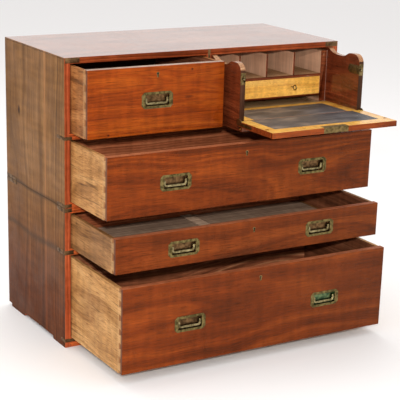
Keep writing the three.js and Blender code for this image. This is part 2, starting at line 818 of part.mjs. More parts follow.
function mapleDrawer() {
  const [left, right] = widened(nestInside, -nestDrawerGap);
  const group = groupAt((left + right) / 2, nestFront, nestDrawerFloor);
  const half = (right - left) / 2;
  const height = nestDrawerOpening - nestDrawerGap;
  const length = drawerLength - nestBackThickness - mapleRearGap - nestFront;
  const keyPlace = [-half + (right - left) * keyPlaceShare, 0, keyHeight];
  const keyHole = alongY(disc(0, 0, keyShankRadius + fit), [-overrun, mapleFrontThickness + overrun]);
  const front = block([-half, half], [0, mapleFrontThickness], [fit, height])
    .subtract(keyHole.translate(keyPlace));
  const boxSpan = [-half, half];
  const boxDepth = [mapleFrontThickness + fit, length];
  const box = block(boxSpan, boxDepth, [fit, height - mapleBoxDrop])
    .subtract(block(widened(boxSpan, -mapleSideThickness), widened(boxDepth, -mapleSideThickness),
      [mapleBottomThickness, height + overrun]));
  const key = piece("key", keySolid(), "brass");
  key.position.set(...keyPlace);
  group.add(piece("maple_drawer_front", front, "maple"));
  group.add(piece("maple_drawer_box", box, "lining"));
  group.add(key);
  return group;
}

// The key stands in its lock: a round shank and a flat open bow.
function keySolid() {
  const shank = alongY(disc(0, 0, keyShankRadius), [-keyShankLength, keyRoot]);
  const ringPlace = keyShankLength + keyBowRadius;
  const rim = alongX(disc(-ringPlace, 0, keyBowRadius + keyBowBar / 2), middled(keyBowThickness));
  const eye = alongX(disc(-ringPlace, 0, keyBowRadius - keyBowBar / 2), middled(keyBowThickness + overrun));
  return shank.add(rim.subtract(eye));
}

function writingDrawer() {
  const group = groupAt(topRowMiddle, -writingPull, upperBase + topFloor);
  for (const [side, word] of sideNames) {
    group.add(piece(`writing_drawer_${word}_side`, writingSide(side), "front"));
    group.add(piece(`fall_hinge_${word}`, hingeLeaf(side), "brass"));
    const stud = piece(`fall_catch_${word}`, catchStud(), "brass");
    stud.position.set(side * studPlace, writingSideFront, catchHeight);
    group.add(stud);
  }
  group.add(piece("writing_bed", bed(), "maple"));
  group.add(piece("bed_leather", bedLeather(), "leather"));
  group.add(piece("pigeonhole_nest", nest(), "inside"));
  group.add(mapleDrawer());

  const fall = groupAt(0, axisY, axisZ);
  fall.rotation.x = Math.PI / 2;
  fall.add(piece("writing_fall", fallBoard(), "front"));
  fall.add(piece("fall_leather", block(fallLeatherSpan, innerSkin, fallLeatherHeight), "leather"));
  fall.add(piece("fall_lock", lockSolid(0), "brass"));
  const fallHandle = handle("fall", "", -Math.PI / 2);
  fallHandle.position.set(0, -axisY, shortHandleHeight - axisZ);
  fall.add(fallHandle);
  group.add(fall);
  return group;
}

// The whole chest, with its middle over the origin

const wide = { middle: 0, width: 2 * innerFace, handles: 2, shrinkage: 0 };
const drawers = [
  { ...wide, name: "deep_drawer", floor: deepFloor, opening: deepOpening,
    shrinkage: deepFrontShrinkage, pull: deepPull, handleHeight: deepHandleHeight,
    keyholeHeight: deepKeyholeHeight },
  { ...wide, name: "shallow_drawer", floor: shallowFloor, opening: shallowOpening,
    pull: shallowPull, handleHeight: shallowHandleHeight, keyholeHeight: shallowKeyholeHeight },
  { ...wide, name: "middle_drawer", floor: upperBase + middleFloor, opening: middleOpening,
    pull: middlePull, handleHeight: middleHandleHeight, keyholeHeight: middleKeyholeHeight },
  { name: "short_drawer", middle: -topRowMiddle, width: topRowWidth, handles: 1, shrinkage: 0,
    floor: upperBase + topFloor, opening: topOpening, pull: shortPull, handleHeight: shortHandleHeight,
    keyholeHeight: shortKeyholeHeight },
];

const fallFront = writingPull - axisY + fallReach;
const foremost = Math.max(fallFront, ...drawers.map(({ pull }) => pull + plateProud));
const chest = groupAt(0, (foremost - caseDepth) / 2, 0);
chest.add(lowerCase(), upperCase());
for (const drawer of drawers) {
  chest.add(plainDrawer(drawer));
}
chest.add(writingDrawer());

export default chest;
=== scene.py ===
import json
import math

import bmesh
import bpy
from mathutils import Matrix, Vector

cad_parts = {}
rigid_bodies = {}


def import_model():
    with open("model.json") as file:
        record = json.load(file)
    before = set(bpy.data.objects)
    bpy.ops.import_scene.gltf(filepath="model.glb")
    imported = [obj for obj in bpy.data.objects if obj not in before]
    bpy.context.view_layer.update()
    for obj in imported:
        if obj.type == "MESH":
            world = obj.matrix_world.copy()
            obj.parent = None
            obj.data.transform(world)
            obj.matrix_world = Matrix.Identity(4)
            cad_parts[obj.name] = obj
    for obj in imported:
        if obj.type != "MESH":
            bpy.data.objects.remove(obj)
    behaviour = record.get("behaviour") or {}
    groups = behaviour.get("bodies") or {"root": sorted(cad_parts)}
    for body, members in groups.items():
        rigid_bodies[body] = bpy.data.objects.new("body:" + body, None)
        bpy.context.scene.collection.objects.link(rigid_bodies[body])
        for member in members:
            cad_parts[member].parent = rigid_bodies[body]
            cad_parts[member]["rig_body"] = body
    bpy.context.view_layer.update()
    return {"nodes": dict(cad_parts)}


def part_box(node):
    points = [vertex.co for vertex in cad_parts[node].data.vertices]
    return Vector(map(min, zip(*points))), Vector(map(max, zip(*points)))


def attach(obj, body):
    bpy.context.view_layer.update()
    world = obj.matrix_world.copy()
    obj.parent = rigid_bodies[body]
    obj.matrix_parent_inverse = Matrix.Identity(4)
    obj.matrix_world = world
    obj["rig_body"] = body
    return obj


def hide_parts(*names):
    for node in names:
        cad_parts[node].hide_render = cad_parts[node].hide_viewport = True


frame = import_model()


# Camera
# It stands off the left front corner, higher than the top, and looks down on the open drawers.
# Its place, turn and lens come from the case's straight edges in the photograph.
camera_place = Vector((-2.0983, -3.4912, 1.5331))
camera_turn = math.radians(31.20)
camera_dip = math.radians(17.61)
camera_roll = math.radians(1.70)
camera_lens = 115.5
photo_size = 400
photo_middle = (200.0, 250.9)

ahead = Vector((
    math.sin(camera_turn) * math.cos(camera_dip),
    math.cos(camera_turn) * math.cos(camera_dip),
    -math.sin(camera_dip),
))
level = Vector((math.cos(camera_turn), -math.sin(camera_turn), 0))
upright = level.cross(ahead)
camera_right = math.cos(camera_roll) * level + math.sin(camera_roll) * upright
camera_up = math.cos(camera_roll) * upright - math.sin(camera_roll) * level
camera = bpy.data.objects.new("camera", bpy.data.cameras.new("camera"))
camera.data.lens = camera_lens
camera.data.shift_x = 0.5 - photo_middle[0] / photo_size
camera.data.shift_y = photo_middle[1] / photo_size - 0.5
turned = Matrix((camera_right, camera_up, -ahead)).transposed()
camera.matrix_world = Matrix.Translation(camera_place) @ turned.to_4x4()
bpy.context.scene.collection.objects.link(camera)
bpy.context.scene.camera = camera


# Studio
# A pale sweep of floor in a bright room. The main lamp, a small one, stands above the camera, so it
# reaches into the open drawers and leaves a thin shadow under each; three wide ones fill in softly.
floor_reach = 40.0
floor_corners = 64
paper_colour = (0.95, 0.955, 0.96, 1)
paper_rough = 0.9
paper_gloss = 0.1
room_colour = (1.0, 0.97, 0.955, 1.0)
room_strength = 0.86
lamps_aim = Vector((0, 0, 0.45))
lamps = {
    "front_lamp": {"place": (2.2, -4.2, 3.2), "size": 2.6, "power": 14, "colour": (1.0, 0.96, 0.9)},
    "near_lamp": {"place": (-2.075, -3.452, 1.75), "size": 0.10, "power": 88, "colour": (1.0, 0.97, 0.93)},
    "left_lamp": {"place": (-4.2, -0.2, 2.6), "size": 2.4, "power": 6, "colour": (1.0, 0.98, 0.96)},
    "top_lamp": {"place": (0.2, 1.6, 4.2), "size": 3.2, "power": 60, "colour": (1.0, 0.98, 0.96)},
}


def new_piece(name, body, smooth=False):
    """An object from finished mesh code."""
    mesh = bpy.data.meshes.new(name)
    body.normal_update()
    body.to_mesh(mesh)
    body.free()
    piece = bpy.data.objects.new(name, mesh)
    bpy.context.scene.collection.objects.link(piece)
    for face in mesh.polygons:
        face.use_smooth = smooth
    return piece


def add(tree, kind, inputs=None, **settings):
    """One node with its settings. Each input is a value or another node's output."""
    made = tree.nodes.new("ShaderNode" + kind)
    for name, value in settings.items():
        setattr(made, name, value)
    for name, value in (inputs or {}).items():
        if isinstance(value, bpy.types.NodeSocket):
            tree.links.new(value, made.inputs[name])
        else:
            made.inputs[name].default_value = value
    return made


def blank(name):
    """A new material and its nodes."""
    material = bpy.data.materials.new(name)
    material.use_nodes = True
    return material, material.node_tree


floor_body = bmesh.new()
bmesh.ops.create_circle(floor_body, cap_ends=True, segments=floor_corners, radius=floor_reach)
floor = new_piece("floor", floor_body)
paper, paper_tree = blank("floor_paper")
paper_shader = paper_tree.nodes["Principled BSDF"]
paper_shader.inputs["Base Color"].default_value = paper_colour
paper_shader.inputs["Roughness"].default_value = paper_rough
paper_shader.inputs["Specular IOR Level"].default_value = paper_gloss
floor.data.materials.append(paper)

for lamp_name, lamp in lamps.items():
    light = bpy.data.lights.new(lamp_name, "AREA")
    light.shape = "DISK"
    light.size = lamp["size"]
    light.energy = lamp["power"]
    light.color = lamp["colour"]
    holder = bpy.data.objects.new(lamp_name, light)
    holder.location = lamp["place"]
    towards = lamps_aim - holder.location
    holder.rotation_euler = towards.to_track_quat("-Z", "Y").to_euler()
    bpy.context.scene.collection.objects.link(holder)

room = bpy.data.worlds.new("room")
room.use_nodes = True
room.node_tree.nodes["Background"].inputs["Color"].default_value = room_colour
room.node_tree.nodes["Background"].inputs["Strength"].default_value = room_strength
bpy.context.scene.world = room
bpy.context.scene.view_settings.view_transform = "Standard"


# Lower half of the case
# Solid mahogany boards: two sides that run down into feet, a bottom on foot pads, a dust board and a
# pegged top board housed in the sides, and a back panel. Polished and faded outside, bare inside.
grain_orders = {"x": (0, 1, 2), "y": (1, 2, 0), "z": (2, 0, 1)}

# How often each kind of figure comes in a metre: along the grain, then twice across it.
drift_turns = (1.6, 5.0, 5.0)
cloud_turns = (3.2, 13.0, 13.0)
fibre_turns = (8.0, 260.0, 260.0)
ripple_turns = (48.0, 9.0, 9.0)
pore_turns = (26.0, 900.0, 900.0)
ring_share, cloud_share = 0.55, 0.45
fibre_depth = 0.12


def paint(red, green, blue):
    """A colour as a screen shows it, from 0 to 255, made linear for the nodes."""
    shares = [value / 255 for value in (red, green, blue)]
    linear = [((share + 0.055) / 1.055) ** 2.4 if share > 0.04 else share / 12.92 for share in shares]
    return (*linear, 1.0)


def reckon(tree, operation, first, second=0.0):
    """One sum on two numbers."""
    return add(tree, "Math", {0: first, 1: second}, operation=operation).outputs[0]


def spread(tree, operation, first, second):
    """One sum on two places, axis by axis."""
    return add(tree, "VectorMath", {0: first, 1: second}, operation=operation).outputs["Vector"]


def noise(tree, place, scale, detail=2.0, roughness=0.5):
    """Cloudy noise from 0 to 1, with its own scale along each axis, in turns a metre."""
    spaced = spread(tree, "MULTIPLY", place, scale)
    inputs = {"Vector": spaced, "Scale": 1.0, "Detail": detail, "Roughness": roughness}
    return add(tree, "TexNoise", inputs).outputs["Fac"]


def step(tree, value, start, end, low=0.0, high=1.0):
    """A smooth step from low to high as the value goes from start to end."""
    inputs = {"Value": value, "From Min": start, "From Max": end, "To Min": low, "To Max": high}
    return add(tree, "MapRange", inputs, interpolation_type="SMOOTHSTEP").outputs["Result"]


def mixed(tree, share, first, second, kind="MIX"):
    """The first colour with a share of the second laid over it."""
    inputs = {0: share, 6: first, 7: second}
    return add(tree, "Mix", inputs, data_type="RGBA", blend_type=kind).outputs[2]


def ramp(tree, value, *stops):
    """Colours along a value; each stop is a place and a colour."""
    made = add(tree, "ValToRGB", {"Fac": value})
    stretch = made.color_ramp
    for element, (place, colour) in zip(stretch.elements, (stops[0], stops[-1])):
        element.position = place
        element.color = colour
    for place, colour in stops[1:-1]:
        stretch.elements.new(place).color = colour
    return made.outputs["Color"]


def place_of(tree):
    """Where a point lies on the chest, in metres. It rides with the piece."""
    return add(tree, "TexCoord").outputs["Object"]


def part_of(tree, axis):
    """The same place's part along one axis."""
    return add(tree, "SeparateXYZ", {0: place_of(tree)}).outputs["XYZ".index(axis.upper())]


def timber(tree, grain, pith, tones, ring=0.006, bend=0.014, pore=0.45, ripple=0.10, seed=0.0):
    """Colour and height of solid timber: rings about a pith that runs with the grain, then fibres,
    pores drawn out along the grain, and a soft ripple across it."""
    parts = add(tree, "SeparateXYZ", {0: place_of(tree)}).outputs
    along, wide, deep = (parts[axis] for axis in grain_orders[grain])
    lay = add(tree, "CombineXYZ", {
        0: reckon(tree, "ADD", along, seed),
        1: reckon(tree, "SUBTRACT", wide, pith[0]),
        2: reckon(tree, "SUBTRACT", deep, pith[1]),
    }).outputs[0]
    drift = add(tree, "TexNoise", {
        "Vector": spread(tree, "MULTIPLY", lay, drift_turns),
        "Scale": 1.0,
        "Detail": 2.0,
    }).outputs["Color"]
    centred = spread(tree, "SUBTRACT", drift, (0.5, 0.5, 0.5))
    sway = spread(tree, "MULTIPLY", centred, (0, 2 * bend, 2 * bend))
    crosswise = spread(tree, "MULTIPLY", spread(tree, "ADD", lay, sway), (0, 1, 1))
    radius = add(tree, "VectorMath", {0: crosswise}, operation="LENGTH").outputs["Value"]
    rings = add(tree, "TexNoise", {
        "W": reckon(tree, "DIVIDE", radius, ring),
        "Scale": 1.0,
        "Detail": 3.0,
        "Roughness": 0.62,
    }, noise_dimensions="1D").outputs["Fac"]
    clouds = noise(tree, lay, cloud_turns, 3.0)
    figure = reckon(
        tree, "ADD", reckon(tree, "MULTIPLY", rings, ring_share), reckon(tree, "MULTIPLY", clouds, cloud_share)
    )
    colour = ramp(tree, figure, (0.34, tones[0]), (0.5, tones[1]), (0.66, tones[2]))
    fibres = noise(tree, lay, fibre_turns, 3.0)
    across = noise(tree, lay, ripple_turns, 1.0)
    fibre_light = step(tree, fibres, 0.3, 0.7, 1 - fibre_depth, 1 + fibre_depth)
    across_light = step(tree, across, 0.3, 0.7, 1 - ripple, 1 + ripple)
    light = reckon(tree, "MULTIPLY", fibre_light, across_light)
    colour = add(tree, "VectorMath", {0: colour, "Scale": light}, operation="SCALE").outputs["Vector"]
    pores = step(tree, noise(tree, lay, pore_turns, 1.0), 0.56, 0.66)
    colour = mixed(tree, reckon(tree, "MULTIPLY", pores, pore), colour, tones[0], "MULTIPLY")
    height = reckon(tree, "SUBTRACT", fibres, pores)
    return colour, height


def surface(material, colour, height, rough, relief, **sockets):
    """Joins colour, height and roughness to the shader, and sets its plain sockets."""
    tree = material.node_tree
    shader = tree.nodes["Principled BSDF"]
    bump = add(tree, "Bump", {"Height": height, "Distance": relief, "Strength": 1.0})
    tree.links.new(colour, shader.inputs["Base Color"])
    tree.links.new(rough, shader.inputs["Roughness"])
    tree.links.new(bump.outputs["Normal"], shader.inputs["Normal"])
    for name, value in sockets.items():
        shader.inputs[name.replace("_", " ")].default_value = value
    return material


polish_tint = paint(255, 204, 140)


def wood(name, grain, pith, tones, rough=(0.26, 0.42), coat=0.04, coat_rough=0.1, gloss=0.22, relief=0.00018,
         layers=(), **figure):
    """A timber finish. Each layer takes the nodes and the colour so far, and gives the colour on."""
    material, tree = blank(name)
    colour, height = timber(tree, grain, pith, tones, **figure)
    for layer in layers:
        colour = layer(tree, colour)
    rubbed = step(tree, noise(tree, place_of(tree), (7, 7, 7), 4.0, 0.6), 0.35, 0.65, *rough)
    return surface(material, colour, height, rubbed, relief, Coat_Weight=coat, Coat_Roughness=coat_rough,
                   Specular_IOR_Level=gloss, Specular_Tint=polish_tint)


def zone(axis, start, end, tone, share=1.0, kind="MULTIPLY"):
    """A tone that comes in as a place along one axis goes from start to end."""
    def lay_on(tree, colour):
        amount = step(tree, part_of(tree, axis), start, end, 0.0, share)
        return mixed(tree, amount, colour, tone, kind)
    return lay_on


def spot(centre, reach, tone, share=1.0, kind="MULTIPLY", ragged=0.5):
    """A stain, knot, dark mark or painted reflection about a point, full in its core and with a ragged edge."""
    core = 0.2

    def lay_on(tree, colour):
        away = spread(tree, "DIVIDE", spread(tree, "SUBTRACT", place_of(tree), centre), reach)
        distance = add(tree, "VectorMath", {0: away}, operation="LENGTH").outputs["Value"]
        fray = noise(tree, place_of(tree), (60, 60, 60), 3.0)
        frayed = reckon(tree, "ADD", distance, reckon(tree, "MULTIPLY", fray, ragged))
        amount = step(tree, frayed, 1 + ragged / 2, core + ragged / 2, 0.0, share)
        return mixed(tree, amount, colour, tone, kind)
    return lay_on


def streak(axis, middle, width, tone, share=1.0, kind="MIX"):
    """A band of other colour at one place along an axis, with soft, wavering sides."""
    def lay_on(tree, colour):
        waver = reckon(tree, "MULTIPLY", noise(tree, place_of(tree), (4, 4, 4), 2.0), width)
        here = reckon(tree, "ADD", part_of(tree, axis), waver)
        offset = reckon(tree, "ABSOLUTE", reckon(tree, "SUBTRACT", here, middle + width / 2))
        amount = step(tree, offset, width / 2, 0.0, 0.0, share)
        return mixed(tree, amount, colour, tone, kind)
    return lay_on


weld_reach = 0.00001
hull_reach = 0.00002
flat_turn = math.radians(1)
arris_turn = math.radians(35)
crisp_turn = math.radians(40)


def dress(node, finishes, choose=None, radius=0.0009, arris="outer"):
    """A CAD piece with its arrises rounded over and its faces finished, in the CAD piece's place.
    Choose gives the number of a face's finish from its direction and its middle. Arris is "outer",
    "all", or a rule that picks from the sharp edges."""
    source = frame["nodes"][node]
    low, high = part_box(node)
    body = bmesh.new()
    body.from_mesh(source.data)
    bmesh.ops.remove_doubles(body, verts=body.verts, dist=weld_reach)
    bmesh.ops.dissolve_limit(body, angle_limit=flat_turn, verts=body.verts, edges=body.edges)
    body.normal_update()

    def hull_planes(point):
        return {(axis, end) for axis in range(3) for end, corner in enumerate((low, high))
                if abs(point[axis] - corner[axis]) < hull_reach}

    arrises = []
    for edge in body.edges:
        if len(edge.link_faces) != 2 or edge.calc_face_angle(0) < arris_turn:
            continue
        shared = hull_planes(edge.verts[0].co) & hull_planes(edge.verts[1].co)
        picked = arris(edge, shared) if callable(arris) else arris == "all" or len(shared) >= 2
        if picked:
            arrises.append(edge)
    bmesh.ops.bevel(body, geom=arrises, offset=radius, segments=2, profile=0.5, affect="EDGES",
                    clamp_overlap=True)
    body.normal_update()
    if choose:
        for face in body.faces:
            face.material_index = choose(face.normal, face.calc_center_median())
    piece = new_piece(node + "_finished", body, smooth=True)
    for finish in finishes:
        piece.data.materials.append(finish)
    piece.data.set_sharp_from_angle(angle=crisp_turn)
    weighted = piece.modifiers.new("even_normals", "WEIGHTED_NORMAL")
    weighted.keep_sharp = True
    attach(piece, source["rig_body"])
    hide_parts(node)
    return piece


side_names = ("left", "right")
case_half = 0.5
case_joint = 0.457
front_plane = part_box("lower_case_left_side")[0].y
rail_polish_depth = 0.012
board_arris = 0.0006
mostly = 0.7  # the share of a face's direction on an axis from which it counts as facing that way

side_tones = (paint(100, 68, 37), paint(126, 87, 49), paint(148, 107, 65))
rail_tones = (paint(138, 60, 27), paint(188, 86, 41), paint(216, 112, 56))
edge_tones = (paint(124, 52, 26), paint(165, 76, 43), paint(190, 99, 62))
inside_tones = (paint(60, 34, 22), paint(92, 56, 36), paint(120, 78, 52))
side_streak_place = front_plane + 0.141
# The side darkens towards the bottom: a painted shade, as less light reaches it low down.
side_shade_top, side_shade_bottom = 0.60, 0.08
side_stain_height = 0.310
side_knot_place = (-case_half, front_plane + 0.346, 0.699)
side_knot_reach = (0.05, 0.013, 0.024)
side_finish = wood(
    "faded_and_shaded_side", "z", (0.30, 0.42), side_tones, ring=0.007, bend=0.016, seed=1.7, rough=(0.4, 0.56),
    coat=0.02, coat_rough=0.14, gloss=0.1,
    layers=[
        streak("y", side_streak_place, 0.022, paint(176, 122, 76), 0.55),
        zone("z", side_shade_top, side_shade_bottom, paint(184, 136, 98)),
        streak("z", case_joint, 0.026, paint(58, 42, 28), 0.7),
        streak("z", side_stain_height, 0.034, paint(60, 42, 28), 0.6),
        spot(side_knot_place, side_knot_reach, paint(56, 34, 22), 1.0, "MIX"),
    ],
)
edge_finish = wood("case_edge", "z", (0.02, 0.3), edge_tones, ring=0.005, seed=3.1)
rail_finish = wood("rail", "x", (0.05, 0.3), rail_tones, ring=0.005, seed=4.4)
bare_finish = wood("bare_inside", "x", (0.2, 0.5), inside_tones, ring=0.006, rough=(0.5, 0.7), coat=0.0,
                   seed=6.2)


def side_or_edge(normal, middle):
    return 1 if normal.y < -mostly else 0


def rail_or_bare(normal, middle):
    return 0 if middle.y < front_plane + rail_polish_depth else 1


for side_name in side_names:
    dress(f"lower_case_{side_name}_side", [side_finish, edge_finish], side_or_edge)
for board_name in ("bottom_board", "dust_board", "top_board"):
    dress(f"lower_case_{board_name}", [rail_finish, bare_finish], rail_or_bare, radius=board_arris)
dress("lower_case_back_panel", [bare_finish])


# Brass straps
# Thin brass strips let in nearly level with the wood across the case's corners, where its boards meet:
# a short leg on the front edge, and on the side a leg with a round end, held by two small screws.
half_round_steps = 8
face_reach = 1e-7
square_turn = math.radians(60)
plate_crisp_turn = math.radians(30)


def brass(name, dull, bright, rough=(0.3, 0.5), wear_scale=90.0):
    """Old brass: dull patches and rubbed bright ones, with fine scratches."""
    material, tree = blank(name)
    place = place_of(tree)
    patches = noise(tree, place, (wear_scale,) * 3, 4.0, 0.62)
    scratches = noise(tree, place, (1500, 260, 900), 2.0)
    colour = ramp(tree, patches, (0.38, dull), (0.62, bright))
    rough_here = step(tree, patches, 0.3, 0.7, rough[1], rough[0])
    height = reckon(tree, "ADD", patches, reckon(tree, "MULTIPLY", scratches, 0.4))
    return surface(material, colour, height, rough_here, 0.00012, Metallic=1.0)


def thin_plate(name, outlines, corner, across, along, thick, owner, finish, edge=0.0003):
    """A thin plate from its outline and its holes, drawn from a corner along two directions. It
    rides with its owner, a CAD piece."""
    body = bmesh.new()
    rims = []
    for outline in outlines:
        points = [body.verts.new((u, v, 0)) for u, v in outline]
        rims += [body.edges.new(pair) for pair in zip(points, points[1:] + points[:1])]
    bmesh.ops.triangle_fill(body, use_beauty=True, use_dissolve=True, edges=rims)
    grown = bmesh.ops.extrude_face_region(body, geom=list(body.faces))["geom"]
    lowered = [part for part in grown if isinstance(part, bmesh.types.BMVert)]
    bmesh.ops.translate(body, vec=(0, 0, -thick), verts=lowered)
    bmesh.ops.recalc_face_normals(body, faces=body.faces)
    arrises = [
        line for line in body.edges
        if line.calc_face_angle(0) > square_turn and all(abs(end.co.z) < face_reach for end in line.verts)
    ]
    bmesh.ops.bevel(body, geom=arrises, offset=edge, segments=2, profile=0.5, affect="EDGES",
                    clamp_overlap=True)
    turn = Matrix((across, along, across.cross(along))).transposed().to_4x4()
    body.transform(Matrix.Translation(corner) @ turn)
    bmesh.ops.recalc_face_normals(body, faces=body.faces)
    piece = new_piece(name, body, smooth=True)
    piece.data.materials.append(finish)
    piece.data.set_sharp_from_angle(angle=plate_crisp_turn)
    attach(piece, frame["nodes"][owner]["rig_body"])
    return piece


def oblong(left, right, low, high):
    """A rectangle's outline, from its two sides and its lower and upper edge."""
    return [(left, low), (right, low), (right, high), (left, high)]


def round_ended(length, height, start=0.0):
    """A strip from start to length with a half-round end, its middle line on zero."""
    half = height / 2
    turns = [math.radians(-90 + 180 * count / half_round_steps) for count in range(half_round_steps + 1)]
    curve = [(length - half + half * math.cos(turn), half * math.sin(turn)) for turn in turns]
    return [(start, -half), *curve, (start, half)]


def screw(name, middle, across, along, radius, owner, finish):
    """A flat screw head: two half rounds with the slot between them."""
    half_slot = radius * 0.16
    head_thick = 0.0003
    head_edge = 0.0001
    first = math.asin(half_slot / radius)
    round_part = math.pi - 2 * first
    halves = []
    for turned in (0, math.pi):
        turns = [
            turned + first + round_part * count / half_round_steps for count in range(half_round_steps + 1)
        ]
        halves.append([(radius * math.cos(turn), radius * math.sin(turn)) for turn in turns])
    thin_plate(name, halves, middle, across, along, head_thick, owner, finish, edge=head_edge)


to_right, to_back, to_top = Vector((1, 0, 0)), Vector((0, 1, 0)), Vector((0, 0, 1))
both_sides = ((-1, "left"), (1, "right"))
case_depth = 0.454
strap_finish = brass("strap_brass", paint(84, 62, 42), paint(130, 100, 68), (0.45, 0.65), 60.0)
strap_proud = 0.0003
strap_thick = 0.001
strap_screw_radius = 0.0024
strap_screw_shares = (0.3, 0.78)
screw_proud = 0.00015
rear_strap_length = 0.085
straps = {
    "foot_strap": {"owner": "lower_case", "low": 0.017, "high": 0.029, "front": 0.035, "side": 0.030},
    "deep_rail_strap": {"owner": "lower_case", "low": 0.307, "high": 0.321, "front": 0.030, "side": 0.055},
    "under_joint_strap": {"owner": "lower_case", "low": 0.4435, "high": 0.4562, "front": 0.024, "side": 0.055},
    "over_joint_strap": {"owner": "upper_case", "low": 0.4586, "high": 0.4695, "front": 0.024, "side": 0.055},
    "top_rail_strap": {"owner": "upper_case", "low": 0.6690, "high": 0.6800, "front": 0.025, "side": 0.055},
}
for strap_name, strap in straps.items():
    middle = (strap["low"] + strap["high"]) / 2
    wide = strap["high"] - strap["low"]
    for side, side_name in both_sides:
        owner = f"{strap['owner']}_{side_name}_side"
        name = f"{strap_name}_{side_name}"
        outline = oblong(*sorted((0.0, -side * strap["front"])), -wide / 2, wide / 2)
        corner = Vector((side * case_half, front_plane - strap_proud, middle))
        thin_plate(name + "_front", [outline], corner, to_right, to_top, strap_thick, owner, strap_finish)
        corner = Vector((side * (case_half + strap_proud), front_plane, middle))
        legs = [(name + "_side", corner, to_back, strap["side"])]
        if "joint" in name:
            legs.append((name + "_rear", corner + case_depth * to_back, -to_back, rear_strap_length))
        for leg_name, start, onward, length in legs:
            upward = to_top if onward.cross(to_top).x * side > 0 else -to_top
            thin_plate(leg_name, [round_ended(length, wide, -strap_proud)], start, onward, upward, strap_thick,
                       owner, strap_finish)
            for count, share in enumerate(strap_screw_shares):
                screw_place = start + onward * length * share + to_right * side * screw_proud
                screw(f"{leg_name}_screw_{count}", screw_place, onward, upward, strap_screw_radius, owner,
                      strap_finish)


# Upper half of the case
# It stands on the lower half on four pegs: two sides, a bottom, a dust board, a back and a divider
# between the top drawers, all under a top board that lies over the sides and carries a deep polish.
top_tones = (paint(120, 62, 40), paint(158, 92, 62), paint(184, 118, 86))
top_finish = wood(
    "polished_top", "x", (0.16, 0.55), top_tones, ring=0.012, bend=0.03, seed=9.3, rough=(0.10, 0.2),
    coat=1.0, coat_rough=0.05, relief=0.00006,
)
lid_edge_tones = (paint(98, 40, 19), paint(138, 59, 28), paint(164, 80, 40))
lid_edge_finish = wood("lid_edge", "x", (0.05, 0.3), lid_edge_tones, ring=0.005, seed=4.9)


def top_edge_or_end(normal, middle):
    if normal.z > mostly:
        return 0
    return 1 if abs(normal.x) < mostly else 2


for side_name in side_names:
    dress(f"upper_case_{side_name}_side", [side_finish, edge_finish], side_or_edge)
for board_name in ("bottom_board", "dust_board"):
    dress(f"upper_case_{board_name}", [rail_finish, bare_finish], rail_or_bare, radius=board_arris)
dress("upper_case_divider", [edge_finish], radius=board_arris)
dress("upper_case_top_board", [top_finish, lid_edge_finish, side_finish], top_edge_or_end)
dress("upper_case_back_panel", [bare_finish])

# Brass on the top board's front edge: one strap at each end, and a tongue down over the divider.
lid_strap_low, lid_strap_high = 0.902, 0.9185
lid_strap_inner, lid_strap_outer = 0.450, 0.498
tongue_length, tongue_width = 0.034, 0.009
for side, side_name in both_sides:
    ends = sorted((side * lid_strap_outer, side * lid_strap_inner))
    thin_plate(f"top_strap_{side_name}", [oblong(*ends, lid_strap_low, lid_strap_high)],
               Vector((0, front_plane - strap_proud, 0)), to_right, to_top, strap_thick,
               "upper_case_top_board", strap_finish)
hanging = [(u, -v) for v, u in round_ended(tongue_length, tongue_width)]
thin_plate("divider_strap", [hanging], Vector((0, front_plane - strap_proud, lid_strap_high)), to_right, to_top,
           strap_thick, "upper_case_top_board", strap_finish)


# Drawer fronts
# Four thick boards of figured mahogany with the grain across, polished a warm orange red. The short
# drawer's is the brightest, with a fine line and three dark marks, and the wide ones are browner and
# darker: partly their own colour and partly painted shade, as the lower fronts get less light.
short_face = front_plane - 0.110
mark_tone = paint(60, 22, 10)
mark_reach = (0.006, 0.05, 0.005)
# Each front darkens and cools towards the right: a painted shade across the chest.
cool_start, cool_end = -0.45, 0.45
cool_tone = paint(230, 240, 255)
# The rim tones colour each front's top face paler: a painted reflection of the bright room, pale grey on the
# short drawer and lighter brown on the others.
rim_sheen_tones = (paint(128, 68, 40), paint(164, 94, 60), paint(196, 126, 88))
front_looks = {
    "short_drawer": {
        "tones": (paint(103, 36, 8), paint(138, 55, 10), paint(165, 76, 17)), "pith": (0.02, 0.84), "seed": 0.4,
        "rim": (paint(146, 122, 108), paint(186, 160, 144), paint(214, 192, 176)),
        "marks": [
            streak("z", 0.842, 0.004, paint(96, 34, 10), 0.5),
            spot((-0.136, short_face, 0.797), (0.020, 0.05, 0.009), paint(84, 32, 12), 0.75, "MIX"),
            spot((-0.125, short_face, 0.881), mark_reach, mark_tone, 0.9, "MIX"),
            spot((-0.409, short_face, 0.700), mark_reach, mark_tone, 0.9, "MIX"),
        ],
    },
    "middle_drawer": {
        "tones": (paint(77, 28, 7), paint(110, 42, 9), paint(137, 59, 15)), "pith": (0.05, 0.52), "seed": 2.9,
        "rim": rim_sheen_tones,
    },
    "shallow_drawer": {
        "tones": (paint(75, 28, 8), paint(108, 43, 11), paint(131, 58, 18)), "pith": (0.03, 0.30), "seed": 5.3,
        "rim": rim_sheen_tones,
    },
    "deep_drawer": {
        "tones": (paint(79, 29, 8), paint(110, 43, 11), paint(137, 60, 18)), "pith": (0.06, 0.21), "seed": 8.1,
        "rim": rim_sheen_tones,
    },
}
end_tones = (paint(128, 84, 50), paint(158, 106, 64), paint(180, 128, 84))


def face_end_or_rim(normal, middle):
    if normal.z > mostly:
        return 2
    return 1 if abs(normal.x) > mostly else 0


def lap_shade(face_place):
    """The dark line down a front's end, close behind its face: a painted shade along the arris."""
    return zone("y", face_place + 0.014, face_place + 0.008, paint(88, 46, 40), 0.8, "MIX")


